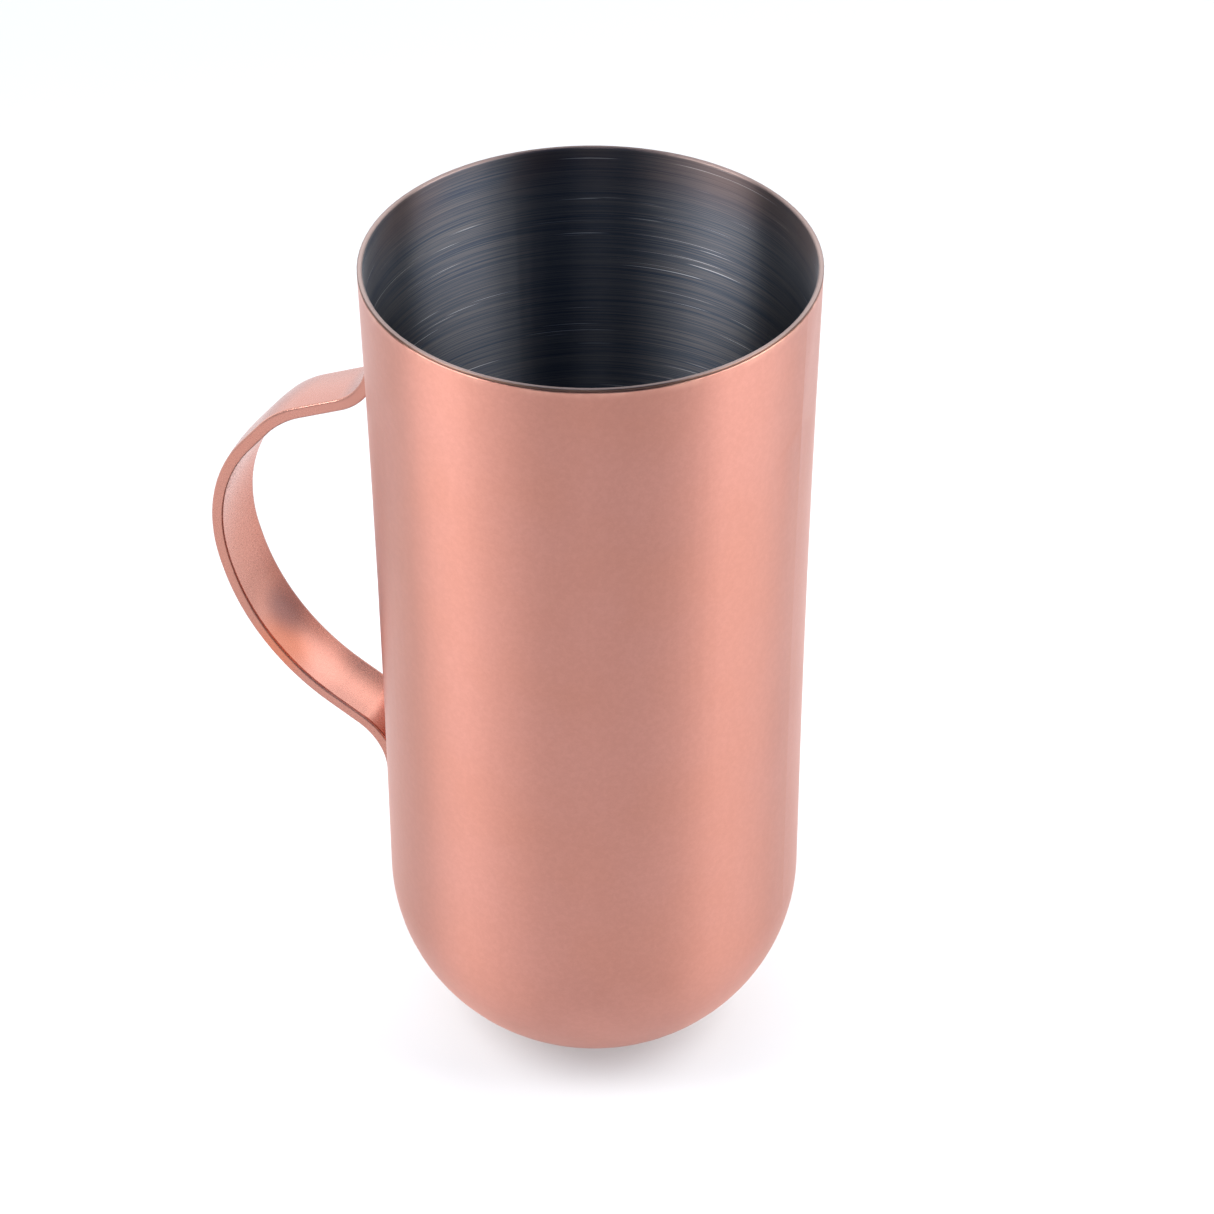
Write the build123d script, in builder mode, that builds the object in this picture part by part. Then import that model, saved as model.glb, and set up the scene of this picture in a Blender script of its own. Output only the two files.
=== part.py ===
from build123d import *
import os
from math import acos, asin, degrees, sin, sqrt

# A milk frothing jug: a tall steel cup in a copper jacket, with one strap handle welded on.
# Millimetres. The origin is the centre of the base on the cup's axis, +Z is up, and the
# handle stands towards -X, symmetric about the XZ plane.

# Outer surface of the jacket
height = 164.4
rim_radius = 40.0
wall_radius = 38.7  # the straight lower wall
flare_start = 58.0  # the wall leans outwards from here to the rim
dome_radius = 35.1  # the arc that turns the wall into the base
edge_radius = 3.0  # the small turn between the dome and the standing ring
standing_radius = 15.4  # outer edge of the flat ring that the cup stands on
dish_radius = 9.0  # flat middle of the shallow dish pressed into the base
dish_depth = 0.7
dish_bend = 4.0  # bend radius of the dish's two turns

# Sheets and the joint at the lip
shell_thickness = 0.5
liner_gap = 0.1
liner_thickness = 0.4
lip_thickness = 0.45
lip_roll = 0.5  # the liner's turn outwards over the rim
lip_edge = 0.18  # rounding of the lip's free edge and of the jacket's top edge
seal_thickness = 0.15
seal_recess = 0.25

# Handle strap
strap_width = 12.7
strap_thickness = 2.3
strap_gap = 0.05  # between the strap's tabs and the jacket
strap_edge = 0.5  # rounding of the strap's long edges
tab_round = 4.5  # corner radius of the tab ends
upper_tab_end = 150.0
lower_tab_end = 34.0
upper_root = 129.8  # height where the upper tab's line meets the line of the top run
lower_root = 51.5  # the same for the lower tab and the bottom run
shoulder = (60.3, 120.7)  # distance from the axis and height of the bends' corners
outer_corner = (77.8, 99.7)
lower_corner = (67.9, 65.8)
root_bends = (11.5, 11.3)  # centreline bend radii, upper and lower
shoulder_bend = 22.0
outer_bend = 30.5
lower_bend = 41.0

# Spot welds
nugget_radius = 2.0
shell_pocket = 0.3  # how far a nugget reaches into the jacket
strap_pocket = 1.2  # and into the strap
dimple_radius = 9.0  # ball radius of the electrode marks
dimple_depth = 0.25
upper_weld_heights = (140.0, 145.5)
lower_weld_heights = (37.5, 42.5)

# Worked out from the sizes above
dome_centre_radius = wall_radius - dome_radius
edge_reach = dome_radius - edge_radius
dome_centre_height = edge_radius + sqrt(edge_reach**2 - (standing_radius - dome_centre_radius) ** 2)
edge_angle = degrees(asin((dome_centre_height - edge_radius) / edge_reach))
dish_angle = degrees(acos(1 - dish_depth / (2 * dish_bend)))
dish_run = 2 * dish_bend * sin(acos(1 - dish_depth / (2 * dish_bend)))
flare_height = height - flare_start
flare = rim_radius - wall_radius
flare_radius = (flare_height**2 + flare**2) / (2 * flare)
lip_underside = height - lip_thickness
shell_top = lip_underside - seal_thickness
liner_outer = shell_thickness + liner_gap
liner_inner = liner_outer + liner_thickness
crown_radius = wall_radius + strap_gap + strap_thickness / 2  # the strap curves with the wall


def wall_at(z):
    """Outer radius of the jacket's wall at height z, above the dome."""
    if z <= flare_start:
        return wall_radius
    return wall_radius + flare_radius - sqrt(flare_radius**2 - (z - flare_start) ** 2)


def cup_outline(inset, top):
    """Closed half outline of the cup, set in from its outer surface, from the axis to the wall."""
    flare_angle = degrees(asin((top - flare_start) / (flare_radius + inset)))
    with BuildLine() as outline:
        dish = Line((0, dish_depth + inset), (dish_radius, dish_depth + inset))
        crest_centre = (dish_radius, dish_depth - dish_bend)
        CenterArc(crest_centre, dish_bend + inset, 90, -dish_angle)
        trough_centre = (dish_radius + dish_run, dish_bend)
        CenterArc(trough_centre, dish_bend - inset, 270 - dish_angle, dish_angle)
        Line((dish_radius + dish_run, inset), (standing_radius, inset))
        edge_centre = (standing_radius, edge_radius)
        CenterArc(edge_centre, edge_radius - inset, 270, 90 - edge_angle)
        dome_centre = (dome_centre_radius, dome_centre_height)
        CenterArc(dome_centre, dome_radius - inset, -edge_angle, edge_angle)
        wall_inset = wall_radius - inset
        Line((wall_inset, dome_centre_height), (wall_inset, flare_start))
        flare_centre = (wall_radius + flare_radius, flare_start)
        lean = CenterArc(flare_centre, flare_radius + inset, 180, -flare_angle)
        Line(lean @ 1, (0, top))
        Line((0, top), dish @ 0)
    return outline.line


def weld_nuggets(heights, mode=Mode.ADD):
    """Spot-weld nuggets at these heights, from inside the jacket's wall to inside the strap."""
    for z in heights:
        inner_end = wall_at(z) - shell_pocket
        outer_end = wall_at(z) + strap_gap + strap_pocket
        with Locations((-(inner_end + outer_end) / 2, 0, z)):
            Cylinder(nugget_radius, outer_end - inner_end, rotation=(0, 90, 0), mode=mode)


def electrode_dimples(heights):
    """Round marks that the welding electrode presses into the strap's outer face."""
    for z in heights:
        outer_face = wall_at(z) + strap_gap + strap_thickness
        with Locations((-(outer_face + dimple_radius - dimple_depth), 0, z)):
            Sphere(dimple_radius, mode=Mode.SUBTRACT)


def long_edge(edge):
    """Is this an edge along the strap or round a tab's end, and not one across it or through it?"""
    beside_middle = abs(edge.center().Y) > strap_width / 4
    return edge.length > 1.5 * strap_thickness and (beside_middle or edge.length < strap_width / 2)


# The copper jacket, open at the top, with pockets where the handle is welded on
with BuildPart() as outer_shell:
    with BuildSketch(Plane.XZ) as shell_section:
        make_face(cup_outline(0, shell_top))
        make_face(cup_outline(shell_thickness, shell_top), mode=Mode.SUBTRACT)
        top_edge = shell_section.vertices().sort_by(Axis.Y).sort_by(Axis.X)[-1]
        fillet(top_edge, lip_edge)
    revolve(axis=Axis.Z)
    weld_nuggets(upper_weld_heights + lower_weld_heights, mode=Mode.SUBTRACT)

# The steel cup inside it, turned outwards at the rim to cover the jacket's edge
with BuildPart() as inner_liner:
    with BuildSketch(Plane.XZ) as liner_section:
        make_face(cup_outline(liner_outer, height))
        with Locations((rim_radius / 2, height - lip_thickness / 2)):
            Rectangle(rim_radius, lip_thickness)
        make_face(cup_outline(liner_inner, height), mode=Mode.SUBTRACT)
        top_corners = liner_section.vertices().group_by(Axis.Y)[-1].sort_by(Axis.X)
        fillet(top_corners[0], lip_roll)
        free_edge = liner_section.vertices().group_by(Axis.X)[-1]
        fillet(free_edge, lip_edge)
    revolve(axis=Axis.Z)

# The thin ring of sealing compound between the lip and the jacket's top edge
with BuildPart() as rim_seal:
    with BuildSketch(Plane.XZ):
        with Locations(((rim_radius - seal_recess) / 2, shell_top + seal_thickness / 2)):
            Rectangle(rim_radius - seal_recess, seal_thickness)
        make_face(cup_outline(liner_outer, height), mode=Mode.SUBTRACT)
    revolve(axis=Axis.Z)

# The handle: one bent strap, crowned across its width like the wall that its tabs lie on
with BuildPart() as handle_strap:
    tab_reach = strap_gap + strap_thickness / 2
    tab_lean = (wall_at(upper_tab_end) - wall_at(upper_weld_heights[0])) / (
        upper_tab_end - upper_weld_heights[0]
    )
    upper_root_reach = wall_at(upper_tab_end) + tab_reach - tab_lean * (upper_tab_end - upper_root)
    corners = [
        (wall_at(upper_tab_end) + tab_reach, upper_tab_end),
        (upper_root_reach, upper_root),
        shoulder,
        outer_corner,
        lower_corner,
        (wall_radius + tab_reach, lower_root),
        (wall_radius + tab_reach, lower_tab_end),
    ]
    bends = [root_bends[0], shoulder_bend, outer_bend, lower_bend, root_bends[1]]
    with BuildLine(Plane.XZ) as centreline:
        FilletPolyline([(-reach, z) for reach, z in corners], radius=bends)
    start = Plane(origin=centreline.line @ 0, x_dir=(0, 1, 0), z_dir=centreline.line % 0)
    with BuildSketch(start):
        with Locations((0, crown_radius)):
            Circle(crown_radius + strap_thickness / 2)
            Circle(crown_radius - strap_thickness / 2, mode=Mode.SUBTRACT)
        Rectangle(strap_width, 4 * strap_thickness, mode=Mode.INTERSECT)
    sweep()
    for end in (-1, 0):
        end_face = handle_strap.faces().sort_by(Axis.Z)[end]
        fillet(end_face.edges().sort_by(SortBy.LENGTH)[:2], tab_round)
    fillet(handle_strap.edges().filter_by(long_edge), strap_edge)
    weld_nuggets(upper_weld_heights + lower_weld_heights, mode=Mode.SUBTRACT)
    electrode_dimples(upper_weld_heights + lower_weld_heights)

with BuildPart() as upper_spot_welds:
    weld_nuggets(upper_weld_heights)

with BuildPart() as lower_spot_welds:
    weld_nuggets(lower_weld_heights)


pieces = {
    "outer_shell": outer_shell,
    "inner_liner": inner_liner,
    "rim_seal": rim_seal,
    "handle_strap": handle_strap,
    "upper_spot_welds": upper_spot_welds,
    "lower_spot_welds": lower_spot_welds,
}
os.makedirs("parts", exist_ok=True)
for name, piece in pieces.items():
    piece.part.label = name
    export_step(piece.part, f"parts/{name}.step")
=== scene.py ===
import bpy
from collections import namedtuple
from math import cos, radians, sin
from mathutils import Matrix, Vector


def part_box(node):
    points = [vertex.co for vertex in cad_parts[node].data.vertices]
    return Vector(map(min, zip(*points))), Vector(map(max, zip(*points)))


# A milk frothing jug on a pale floor. Lengths are in metres, angles in degrees, colours linear.
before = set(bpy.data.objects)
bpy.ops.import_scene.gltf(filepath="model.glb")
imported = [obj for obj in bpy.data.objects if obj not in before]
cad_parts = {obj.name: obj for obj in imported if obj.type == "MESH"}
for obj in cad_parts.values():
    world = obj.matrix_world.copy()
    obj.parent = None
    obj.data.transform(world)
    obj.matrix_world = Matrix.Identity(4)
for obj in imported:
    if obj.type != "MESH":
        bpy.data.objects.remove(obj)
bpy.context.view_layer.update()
scene = bpy.context.scene

# The camera looks down at the jug with the handle on its left
CAMERA_AZIMUTH = 23.78
CAMERA_PITCH = 36.50
CAMERA_ROLL = 0.21
CAMERA_PLACE = Vector((0.23298, -0.52223, 0.5140))
LENS_MM = 115.65
SENSOR_MM = 36.0

# Places on the jug that the finishes follow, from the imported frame
RIM_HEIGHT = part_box("inner_liner")[1][2]
LIP_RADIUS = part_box("inner_liner")[1][0]
STRAP_HALF_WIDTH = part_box("handle_strap")[1][1]
WELD_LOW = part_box("lower_spot_welds")
WELD_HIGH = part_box("upper_spot_welds")
NUGGET_RADIUS = WELD_LOW[1][1]
WELD_HEIGHTS = [box[end][2] + sign * NUGGET_RADIUS
                for box in (WELD_LOW, WELD_HIGH) for end, sign in ((0, 1), (1, -1))]
WALL_RADIUS = -WELD_LOW[1][0]
LOWER_TAB = (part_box("handle_strap")[0][2], 0.048)  # lowest and highest point
UPPER_TAB = (0.134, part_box("handle_strap")[1][2])
TAB_ROUND = 0.0045  # corner radius of the tabs
STRAP_REACH = 0.0026  # from the nuggets' inner ends to the strap's outer face
LOOP_CENTRE = Vector((-0.0500, 0.0, 0.0900))  # middle of the opening inside the handle
DARK_REFLECTION_PLACE = Vector((-0.0650, 0.0018, 0.0700))  # a painted dark reflection on the strap's inner face
ORANGE_REFLECTION_PLACE = Vector((-0.0628, -0.0046, 0.0665))  # a painted orange reflection of the jacket, beside that dark reflection

# How far wear, tarnish, painted shade and painted reflections reach. A pair says where one starts to
# change and where it ends.
LIP_DEPTH = 0.0006  # from the top of the rim down to the jacket's edge
RIM_POLISH = 0.0022  # down from the top of the rim, as are the next three
# Painted shade in the groove under the lip
SEAM_SHADE = 0.00085
# Painted reflection of the copper on the steel wall near the rim
WALL_REFLECTION = (0.012, 0.001)
LIP_POLISH = (0.00030, 0.00010)
# Painted reflection of the jacket on the lip's outer face
LIP_FACE_REFLECTION = (0.00015, 0.00005)  # in from the lip's outer face
FOOT_WEAR = (0.0002, 0.0030)  # up from the floor
DISH_TARNISH = (0.001, 0.004)  # up from the floor
# Painted shade on the jacket round each tab of the strap
TAB_SHADE = 0.0013  # out from a tab's outline
EDGE_INNER = (0.0006, 0.0003)  # in from the strap's side, where its rounded edge meets its face
EDGE_OUTER = 0.0002  # in from the strap's side, where its rounded edge ends
SHEARED_SIDE = 0.0003
WELD_MARK = (0.0012, 0.0046)  # out from the middle of the mark, as is the next
# Sizes of the painted dark and orange reflections on the strap's inner face
REFLECTION_MARK = (0.0020, 0.0085)
REFLECTION_WAVER = 0.002  # how uneven the outline of the painted dark reflection is

# Base colours of the metals
COPPER = (0.572, 0.249, 0.185, 1)
COPPER_ROSE = (0.586, 0.263, 0.205, 1)
COPPER_GRAIN = (0.360, 0.125, 0.090, 1)
COPPER_WORN = (0.760, 0.400, 0.300, 1)
# Darker copper for tarnish and smudges, and for painted shade
COPPER_TARNISH_AND_SHADE = (0.150, 0.070, 0.060, 1)
# Darker copper over the welds, and for a painted dark reflection
COPPER_HEAT_AND_DARK_REFLECTION = (0.095, 0.055, 0.070, 1)
# Painted orange reflection of the jacket on the strap
COPPER_ORANGE_REFLECTION = (0.600, 0.170, 0.080, 1)
STEEL_DARK = (0.046, 0.058, 0.084, 1)
STEEL_LIGHT = (0.128, 0.124, 0.128, 1)
STEEL_SCRATCH = (0.550, 0.550, 0.560, 1)
# Painted reflection of the copper on the steel
STEEL_COPPER_REFLECTION = (0.150, 0.085, 0.065, 1)
STEEL_LIP = (0.205, 0.150, 0.138, 1)
WELD_COPPER = (0.300, 0.130, 0.090, 1)
WELD_GREY = (0.160, 0.100, 0.100, 1)
SEAL_DARK = (0.035, 0.018, 0.012, 1)
SEAL_LIGHT = (0.075, 0.038, 0.026, 1)

# Noise cells per metre
CLOUD_SCALE = 38
SMUDGE_SCALE = 16
MOTTLE_SCALE = 900
GRAIN_SCALE = 2600
TURN_LINES = 3000
DRAW_LINES = 3200
DRAW_LENGTH = 60  # along the strap, so that a draw line is about 17 mm long
FINE_LINES = 6500
DEEP_LINES = 4200
BROAD_LINES = 1100
JACKET_PATCHES = 160
STRAP_PATCHES = 90
STEEL_CLOUDS = 30
SEAL_GRAIN = 3000
WELD_CLOUDS = 500

# Depths of the bump
MARK_DEPTH = 4e-6
JACKET_GRAIN_DEPTH = 5e-6
STRAP_GRAIN_DEPTH = 1e-6
STEEL_MARK_DEPTH = 8e-6
SEAL_GRAIN_DEPTH = 1e-5
WELD_GRAIN_DEPTH = 4e-5

# Anisotropy that stretches a highlight up and down, as fine marks round the axis do
JACKET_STRETCH = 0.95
STEEL_STRETCH = 1.0
STRETCH_TURN = 0.25

# The room
ROOM_BLUE = (0.50, 0.95, 1.90, 1)
SWEEP_WHITE = (0.90, 0.95, 1.0, 1)
ROOM_LIGHT = 0.14
HORIZON_LIGHT = 0.35
HORIZON_TOP = (0.25, 0.50)  # sines of the angles at which the horizon's light starts and ends its fall
SWEEP_LIGHT = 1.05
SWEEP_TOP = (0.68, 0.88)  # the same for the sweep
FLOOR_HALF = 3.0
FLOOR_HEIGHT = -0.0001  # just under the standing ring, so the two faces never share a plane
FLOOR_GLOW = (0.35, 0.75)  # under the jug and far from it
GLOW_RISE = (0.32, 1.0)  # distances from the jug between which the glow grows
LAMP_AIM = Vector((0, 0, 0.09))

Place = namedtuple("Place", "whole x y z radius")


class Nodes:
    """The node tree of a new material or world, with short calls for adding linked nodes."""

    def __init__(self, name, kind="materials"):
        self.owner = getattr(bpy.data, kind).new(name)
        self.owner.use_nodes = True
        self.tree = self.owner.node_tree
        shader_name = "Principled BSDF" if kind == "materials" else "Background"
        self.shader = self.tree.nodes[shader_name]

    def add(self, kind, inputs=None, **settings):
        node = self.tree.nodes.new(kind)
        for key, value in settings.items():
            setattr(node, key, value)
        for socket, value in (inputs or {}).items():
            self.put(node, socket, value)
        return node

    def put(self, node, socket, value):
        if isinstance(value, bpy.types.NodeSocket):
            self.tree.links.new(value, node.inputs[socket])
        else:
            node.inputs[socket].default_value = value

    def math(self, operation, *values):
        node = self.add("ShaderNodeMath", operation=operation)
        for index, value in enumerate(values):
            self.put(node, index, value)
        return node.outputs[0]

    def vector(self, operation, *values):
        """A vector sum as a node, whose result is output 0 for a vector and "Value" for a number."""
        node = self.add("ShaderNodeVectorMath", operation=operation)
        for index, value in enumerate(values):
            self.put(node, index, value)
        return node.outputs

    def ramp(self, value, low, high, out_low=0.0, out_high=1.0):
        """Map value from low..high to out_low..out_high, smooth at both ends."""
        node = self.add("ShaderNodeMapRange", interpolation_type="SMOOTHSTEP")
        for index, entry in enumerate((value, low, high, out_low, out_high)):
            self.put(node, index, entry)
        return node.outputs[0]

    def noise(self, vector, scale, detail=2.0, roughness=0.5):
        inputs = {"Vector": vector, "Scale": scale, "Detail": detail, "Roughness": roughness}
        return self.add("ShaderNodeTexNoise", inputs).outputs["Fac"]

    def mix(self, factor, first, second):
        node = self.add("ShaderNodeMix", data_type="RGBA")
        self.put(node, 0, factor)
        self.put(node, 6, first)
        self.put(node, 7, second)
        return node.outputs[2]

    def place(self):
        """Object coordinates, whole and as x, y, z and the distance from the jug's axis."""
        whole = self.add("ShaderNodeTexCoord").outputs["Object"]
        x, y, z = self.add("ShaderNodeSeparateXYZ", {0: whole}).outputs
        square = self.math("ADD", self.math("MULTIPLY", x, x), self.math("MULTIPLY", y, y))
        return Place(whole, x, y, z, self.math("SQRT", square))

    def around(self, p, turns, lines):
        """Coordinates for marks that run round the axis: long one way and fine the other."""
        safe = self.math("MAXIMUM", p.radius, 1e-5)
        parts = {
            0: self.math("MULTIPLY", self.math("DIVIDE", p.x, safe), turns),
            1: self.math("MULTIPLY", self.math("DIVIDE", p.y, safe), turns),
            2: self.math("MULTIPLY", self.math("ADD", p.z, p.radius), lines),
        }
        return self.add("ShaderNodeCombineXYZ", parts).outputs[0]

    def spot(self, p, centre, radii, strength):
        """A round mark: strength out to the first radius, and fading to nothing at the second."""
        distance = self.vector("DISTANCE", p.whole, centre)["Value"]
        return self.ramp(distance, *radii, strength, 0.0)

    def bump(self, height, distance, normal=None):
        inputs = {"Height": height, "Distance": distance, "Strength": 1.0}
        if normal is not None:
            inputs["Normal"] = normal
        return self.add("ShaderNodeBump", inputs).outputs[0]

    def stretch(self, amount):
        """Make the shader's highlight tall and narrow, on a surface turned round the axis."""
        tangent = self.add("ShaderNodeTangent", direction_type="RADIAL", axis="Z").outputs[0]
        return self.finish(Anisotropic=amount, Anisotropic_Rotation=STRETCH_TURN, Tangent=tangent)

    def finish(self, **inputs):
        for socket, value in inputs.items():
            self.put(self.shader, socket.replace("_", " "), value)
        return self.owner


def satin_copper(n, wear, tarnish_and_shade, orange_reflection, heat_and_dark_reflection, marks, roughness, grain_depth, flecks):
    """Copper with a satin grain under lacquer.

    wear and the next three arguments are masks from 0 to 1: rubbed copper, tarnished copper with
    painted shade, a painted orange reflection, and darkening over the welds with a painted dark
    reflection.
    marks is the height of the tool marks, and flecks is how strongly grain and marks show, 1 on the
    jacket.
    """
    whole = n.place().whole
    clouds = n.noise(whole, CLOUD_SCALE, 4, 0.55)
    mottle = n.noise(whole, MOTTLE_SCALE, 2)
    grain = n.noise(whole, GRAIN_SCALE, 3, 0.7)
    smudges = n.ramp(n.noise(whole, SMUDGE_SCALE, 3, 0.6), 0.52, 0.72)
    tone = n.mix(n.ramp(clouds, 0.32, 0.68), COPPER, COPPER_ROSE)
    tone = n.mix(n.ramp(mottle, 0.35, 0.70, 0.10 * flecks, 0.0), tone, COPPER_GRAIN)
    tone = n.mix(n.ramp(grain, 0.30, 0.70, 0.14 * flecks, 0.0), tone, COPPER_GRAIN)
    tone = n.mix(n.math("MULTIPLY", smudges, 0.07), tone, COPPER_TARNISH_AND_SHADE)
    tone = n.mix(tarnish_and_shade, tone, COPPER_TARNISH_AND_SHADE)
    tone = n.mix(orange_reflection, tone, COPPER_ORANGE_REFLECTION)
    tone = n.mix(heat_and_dark_reflection, tone, COPPER_HEAT_AND_DARK_REFLECTION)
    tone = n.mix(wear, tone, COPPER_WORN)
    rough = n.ramp(grain, 0.30, 0.70, roughness - 0.03, roughness + 0.03)
    rough = n.math("ADD", rough, n.math("MULTIPLY", smudges, 0.03))
    rough = n.math("SUBTRACT", rough, n.math("MULTIPLY", wear, 0.10))
    rough = n.math("ADD", rough, n.math("MULTIPLY", tarnish_and_shade, 0.10))
    normal = n.bump(grain, grain_depth)
    normal = n.bump(marks, MARK_DEPTH * flecks, normal)
    return n.finish(Base_Color=tone, Metallic=1.0, Roughness=rough, Normal=normal,
                    Coat_Weight=0.35, Coat_Roughness=0.42, Coat_IOR=1.45)


def tab_halo(n, p, heights):
    """How near a point of the jacket is to a tab's rounded outline: 1 at it, 0 a little off."""
    low, high = heights
    aside = n.math("SUBTRACT", n.math("ABSOLUTE", p.y), STRAP_HALF_WIDTH - TAB_ROUND)
    above = n.math("MAXIMUM", n.math("SUBTRACT", p.z, high - TAB_ROUND),
                   n.math("SUBTRACT", low + TAB_ROUND, p.z))
    parts = {0: n.math("MAXIMUM", aside, 0.0), 1: n.math("MAXIMUM", above, 0.0)}
    from_corner = n.vector("LENGTH", n.add("ShaderNodeCombineXYZ", parts).outputs[0])["Value"]
    handle_side = n.math("LESS_THAN", p.x, 0.0)
    near = n.ramp(from_corner, TAB_ROUND, TAB_ROUND + TAB_SHADE, 1.0, 0.0)
    return n.math("MULTIPLY", near, handle_side)


def jacket_copper():
    n = Nodes("jacket_copper")
    p = n.place()
    turn_lines = n.noise(n.around(p, 2.0, TURN_LINES), 1.0, 3, 0.6)
    patches = n.noise(p.whole, JACKET_PATCHES, 3, 0.6)
    # Handling has polished the band under the lip, and the ring that the jug stands on
    rim_band = n.ramp(p.z, RIM_HEIGHT - RIM_POLISH, RIM_HEIGHT - LIP_DEPTH)
    rim_wear = n.math("MULTIPLY", rim_band, n.ramp(patches, 0.40, 0.65, 0.10, 0.55))
    foot = n.ramp(p.z, *FOOT_WEAR, 1.0, 0.0)
    foot_lines = n.math("MULTIPLY", n.ramp(turn_lines, 0.45, 0.60), 0.7)
    wear = n.math("MAXIMUM", rim_wear, n.math("MULTIPLY", foot, foot_lines))
    # Tarnish lies in the dish of the base, and painted shade darkens the groove under the lip and the
    # jacket round each tab of the strap
    seam_shade = n.ramp(p.z, RIM_HEIGHT - SEAM_SHADE, RIM_HEIGHT - LIP_DEPTH, 0.0, 0.55)
    dish = n.math("MULTIPLY", n.ramp(p.radius, STRAP_HALF_WIDTH, 2 * STRAP_HALF_WIDTH, 0.35, 0.0),
                  n.ramp(p.z, *DISH_TARNISH, 1.0, 0.0))
    tab_shade = n.math("MAXIMUM", tab_halo(n, p, UPPER_TAB), tab_halo(n, p, LOWER_TAB))
    tab_shade = n.math("MULTIPLY", tab_shade, n.ramp(patches, 0.30, 0.70, 0.15, 0.55))
    tarnish_and_shade = n.math("MAXIMUM", n.math("MAXIMUM", seam_shade, dish), tab_shade)
    satin_copper(n, wear, tarnish_and_shade, orange_reflection=0.0, heat_and_dark_reflection=0.0, marks=turn_lines, roughness=0.37,
                 grain_depth=JACKET_GRAIN_DEPTH, flecks=1.0)
    return n.stretch(JACKET_STRETCH)


def strap_copper():
    n = Nodes("strap_copper")
    p = n.place()
    lengthwise = n.add("ShaderNodeCombineXYZ", {
        0: n.math("MULTIPLY", p.x, DRAW_LENGTH),
        1: n.math("MULTIPLY", p.y, DRAW_LINES),
        2: n.math("MULTIPLY", p.z, DRAW_LENGTH),
    }).outputs[0]
    draw_lines = n.noise(lengthwise, 1.0, 3, 0.6)
    patches = n.noise(p.whole, STRAP_PATCHES, 2)
    # The rounded long edges, between the rolled faces and the sheared sides
    side = n.math("ABSOLUTE", p.y)
    edge_start, edge_full = (STRAP_HALF_WIDTH - inset for inset in EDGE_INNER)
    edge = n.math("MULTIPLY", n.ramp(side, edge_start, edge_full),
                  n.ramp(side, STRAP_HALF_WIDTH - EDGE_OUTER, STRAP_HALF_WIDTH, 1.0, 0.0))
    # Heat has darkened the strap over each weld; a painted dark reflection darkens one place on its
    # inner face, with a painted orange reflection of the jacket beside it
    heat_and_dark_reflection = 0.0
    for height in WELD_HEIGHTS:
        weld = Vector((-WALL_RADIUS - STRAP_REACH, 0.0, height))
        heat_and_dark_reflection = n.math("MAXIMUM", heat_and_dark_reflection, n.spot(p, weld, WELD_MARK, 0.42))
    from_dark_reflection = n.vector("DISTANCE", p.whole, DARK_REFLECTION_PLACE)["Value"]
    uneven = n.math("ADD", from_dark_reflection, n.math("MULTIPLY", patches, REFLECTION_WAVER))
    heat_and_dark_reflection = n.math("MAXIMUM", heat_and_dark_reflection, n.ramp(uneven, *REFLECTION_MARK, 0.50, 0.0))
    orange_reflection = n.spot(p, ORANGE_REFLECTION_PLACE, REFLECTION_MARK, 0.60)
    # A painted dark reflection darkens the rounded edges that face the inside of the loop, and wear
    # shows on the outer ones
    inward = n.vector("NORMALIZE", n.vector("SUBTRACT", LOOP_CENTRE, p.whole)[0])[0]
    facing = n.add("ShaderNodeNewGeometry").outputs["Normal"]
    inner = n.ramp(n.vector("DOT_PRODUCT", inward, facing)["Value"], 0.15, 0.40)
    tarnish_and_shade = n.math("MULTIPLY", n.math("MULTIPLY", edge, inner), 0.65)
    wear = n.math("MULTIPLY", edge, n.ramp(patches, 0.35, 0.65, 0.05, 0.45))
    wear = n.math("MULTIPLY", wear, n.math("SUBTRACT", 1.0, inner))
    # The sheared sides are rougher than the rolled faces, and a painted dark reflection makes them
    # darker
    sheared = n.ramp(side, STRAP_HALF_WIDTH - SHEARED_SIDE, STRAP_HALF_WIDTH, 0.0, 0.22)
    tarnish_and_shade = n.math("MAXIMUM", tarnish_and_shade, sheared)
    return satin_copper(n, wear, tarnish_and_shade, orange_reflection, heat_and_dark_reflection, marks=draw_lines, roughness=0.26,
                        grain_depth=STRAP_GRAIN_DEPTH, flecks=0.4)


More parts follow.
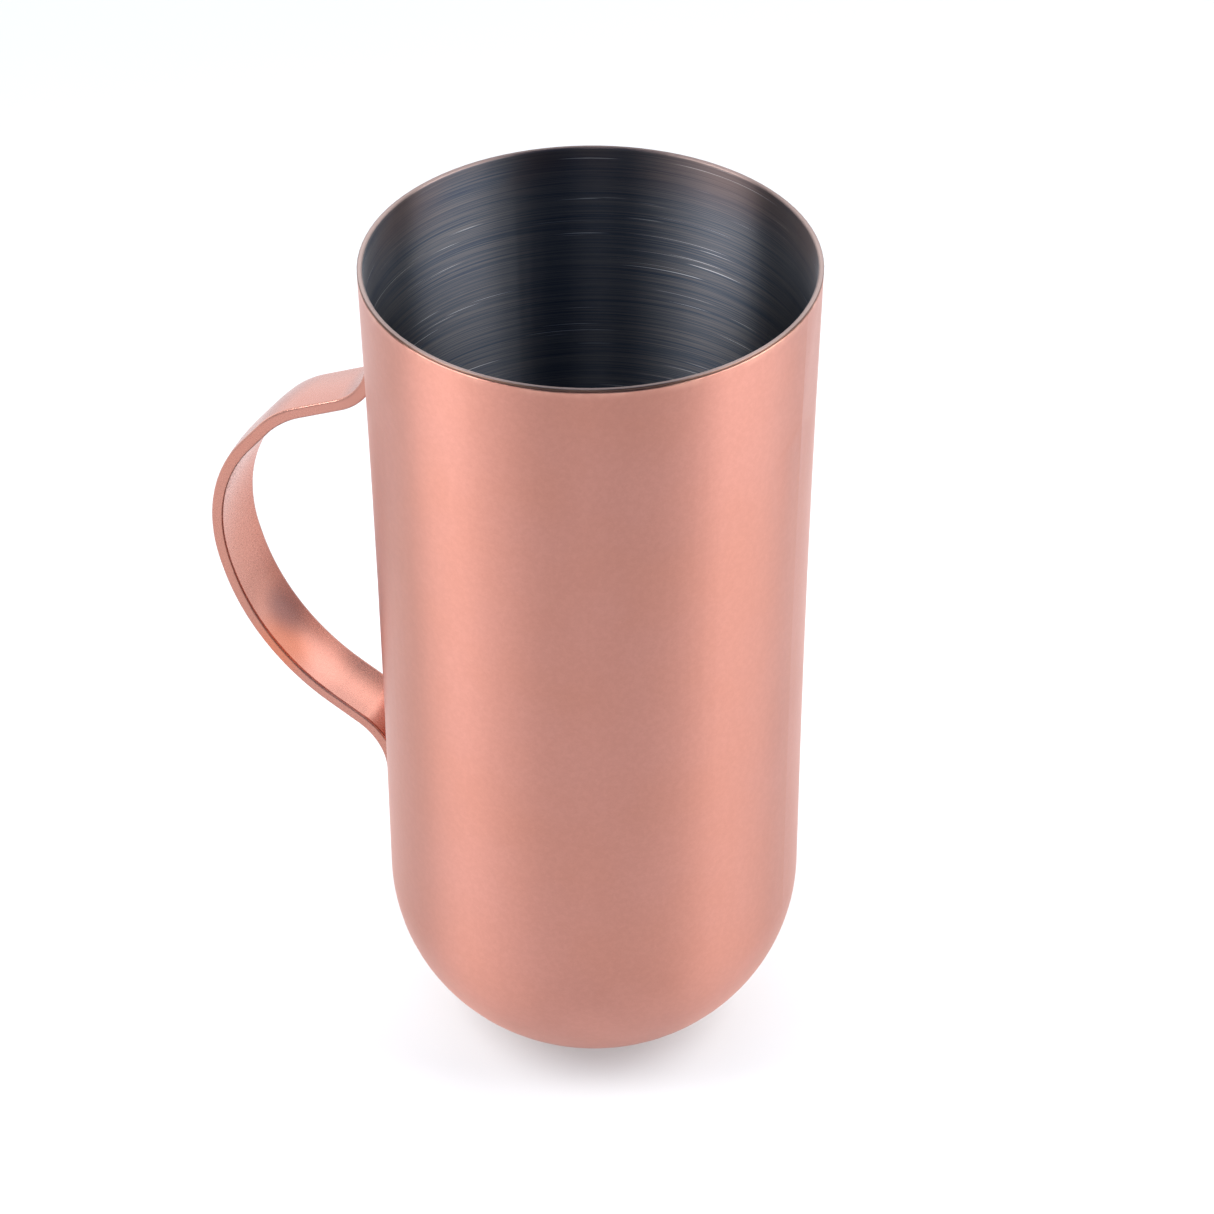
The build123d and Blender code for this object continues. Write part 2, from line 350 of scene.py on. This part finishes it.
def brushed_steel():
    n = Nodes("brushed_steel")
    p = n.place()
    fine = n.noise(n.around(p, 1.3, FINE_LINES), 1.0, 3, 0.65)
    broad = n.noise(n.around(p, 0.8, BROAD_LINES), 1.0, 3, 0.6)
    lines = n.math("ADD", n.math("MULTIPLY", fine, 0.75), n.math("MULTIPLY", broad, 0.25))
    # Only the highest peaks of a third noise show, as single deep scratches
    deep = n.ramp(n.noise(n.around(p, 1.5, DEEP_LINES), 1.0, 1, 0.4), 0.715, 0.765)
    clouds = n.noise(p.whole, STEEL_CLOUDS, 3)
    tone = n.mix(n.ramp(lines, 0.36, 0.64), STEEL_DARK, STEEL_LIGHT)
    tone = n.mix(n.math("MULTIPLY", deep, 0.65), tone, STEEL_SCRATCH)
    # A painted reflection of the copper browns the wall in clouds near the rim
    copper_reflection = n.ramp(p.z, *(RIM_HEIGHT - drop for drop in WALL_REFLECTION), 0.0, 0.45)
    copper_reflection = n.math("MULTIPLY", copper_reflection, n.ramp(clouds, 0.35, 0.65))
    tone = n.mix(copper_reflection, tone, STEEL_COPPER_REFLECTION)
    # The lip is polished on top, and a painted reflection of the jacket beside it browns its outer
    # face
    lip = n.ramp(p.z, *(RIM_HEIGHT - drop for drop in LIP_POLISH))
    tone = n.mix(lip, tone, STEEL_LIP)
    lip_face_reflection = n.ramp(p.radius, *(LIP_RADIUS - inset for inset in LIP_FACE_REFLECTION))
    tone = n.mix(lip_face_reflection, tone, STEEL_COPPER_REFLECTION)
    rough = n.ramp(lines, 0.38, 0.62, 0.46, 0.54)
    rough = n.math("ADD", rough, n.math("MULTIPLY", clouds, 0.04))
    rough = n.math("SUBTRACT", rough, n.math("MULTIPLY", lip, 0.18))
    normal = n.bump(n.math("ADD", lines, n.math("MULTIPLY", deep, 0.4)), STEEL_MARK_DEPTH)
    n.finish(Base_Color=tone, Metallic=1.0, Roughness=rough, Normal=normal)
    return n.stretch(STEEL_STRETCH)


def sealing_compound():
    n = Nodes("sealing_compound")
    grain = n.noise(n.place().whole, SEAL_GRAIN, 3, 0.6)
    tone = n.mix(n.ramp(grain, 0.3, 0.7), SEAL_DARK, SEAL_LIGHT)
    rough = n.ramp(grain, 0.3, 0.7, 0.50, 0.70)
    return n.finish(Base_Color=tone, Roughness=rough, Normal=n.bump(grain, SEAL_GRAIN_DEPTH))


def weld_metal():
    n = Nodes("weld_metal")
    clouds = n.noise(n.place().whole, WELD_CLOUDS, 4, 0.6)
    tone = n.mix(n.ramp(clouds, 0.3, 0.7), WELD_COPPER, WELD_GREY)
    rough = n.ramp(clouds, 0.3, 0.7, 0.40, 0.60)
    return n.finish(Base_Color=tone, Metallic=1.0, Roughness=rough,
                    Normal=n.bump(clouds, WELD_GRAIN_DEPTH))


def dress(node, material):
    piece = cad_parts[node]
    piece.data.materials.clear()
    piece.data.materials.append(material)


def make_camera():
    data = bpy.data.cameras.new("camera")
    data.sensor_width = SENSOR_MM
    data.lens = LENS_MM
    data.clip_start = 0.01
    data.clip_end = 50.0
    camera = bpy.data.objects.new("camera", data)
    turn = Matrix.Rotation(radians(CAMERA_AZIMUTH), 4, "Z")
    tilt = Matrix.Rotation(radians(90 - CAMERA_PITCH), 4, "X")
    roll = Matrix.Rotation(radians(-CAMERA_ROLL), 4, "Z")
    camera.matrix_world = Matrix.Translation(CAMERA_PLACE) @ turn @ tilt @ roll
    scene.collection.objects.link(camera)
    scene.camera = camera


def make_floor():
    """A pale floor, which glows a little so that shadows are faint and the distance is white."""
    signs = ((-1, -1), (1, -1), (1, 1), (-1, 1))
    corners = [(x * FLOOR_HALF, y * FLOOR_HALF, FLOOR_HEIGHT) for x, y in signs]
    mesh = bpy.data.meshes.new("floor")
    mesh.from_pydata(corners, [], [(0, 1, 2, 3)])
    floor = bpy.data.objects.new("floor", mesh)
    scene.collection.objects.link(floor)
    n = Nodes("floor")
    glow = n.ramp(n.place().radius, *GLOW_RISE, *FLOOR_GLOW)
    mesh.materials.append(n.finish(Base_Color=(0.5, 0.5, 0.5, 1), Roughness=0.9,
                                   Emission_Color=(1, 1, 1, 1), Emission_Strength=glow))


def make_world():
    """A pale sweep behind the jug, as seen from the camera, and a dim room above and in front."""
    n = Nodes("world", "worlds")
    direction = n.add("ShaderNodeTexCoord").outputs["Generated"]
    rise = n.add("ShaderNodeSeparateXYZ", {0: direction}).outputs[2]
    turn = radians(CAMERA_AZIMUTH)
    away = Vector((-sin(turn), cos(turn), 0.0))
    behind = n.vector("DOT_PRODUCT", direction, away)["Value"]
    horizon = n.ramp(rise, *HORIZON_TOP, HORIZON_LIGHT, 0.0)
    sweep = n.math("MULTIPLY", n.ramp(rise, *SWEEP_TOP, 1.0, 0.0),
                   n.ramp(behind, 0.0, 0.5, 0.0, SWEEP_LIGHT))
    pale = n.math("ADD", horizon, sweep)
    colour = n.mix(n.ramp(pale, 0.0, 0.4), ROOM_BLUE, SWEEP_WHITE)
    scene.world = n.finish(Color=colour, Strength=n.math("ADD", pale, ROOM_LIGHT))


def softbox(name, azimuth, elevation, distance, size, power):
    """A soft lamp that faces the jug; azimuth is degrees to the right of the camera."""
    turn = radians(CAMERA_AZIMUTH + azimuth)
    rise = radians(elevation)
    away = Vector((sin(turn) * cos(rise), -cos(turn) * cos(rise), sin(rise)))
    data = bpy.data.lights.new(name, "AREA")
    data.shape = "RECTANGLE"
    data.size, data.size_y = size
    data.energy = power
    lamp = bpy.data.objects.new(name, data)
    lamp.location = LAMP_AIM + away * distance
    lamp.rotation_mode = "QUATERNION"
    lamp.rotation_quaternion = (-away).to_track_quat("-Z", "Y")
    scene.collection.objects.link(lamp)


def make_lights():
    """Two keys and a fill draw the tall bands; the others light the back, the strap and the front."""
    softbox("left_key", -76, 42, 0.50, (0.26, 0.36), 2.8)
    softbox("left_fill", -46, 42, 0.50, (0.20, 0.36), 0.42)
    softbox("right_key", 80, 42, 0.50, (0.36, 0.36), 3.1)
    softbox("back", 180, 40, 1.00, (0.8, 0.4), 2.4)
    softbox("strap_light", 131, 34, 0.60, (0.26, 0.22), 0.22)
    softbox("front_strip", -3, 50, 0.60, (0.12, 0.20), 0.20)
    scene.view_settings.view_transform = "Standard"


dress("outer_shell", jacket_copper())
dress("handle_strap", strap_copper())
dress("inner_liner", brushed_steel())
dress("rim_seal", sealing_compound())
weld = weld_metal()
dress("upper_spot_welds", weld)
dress("lower_spot_welds", weld)
make_camera()
make_floor()
make_world()
make_lights()
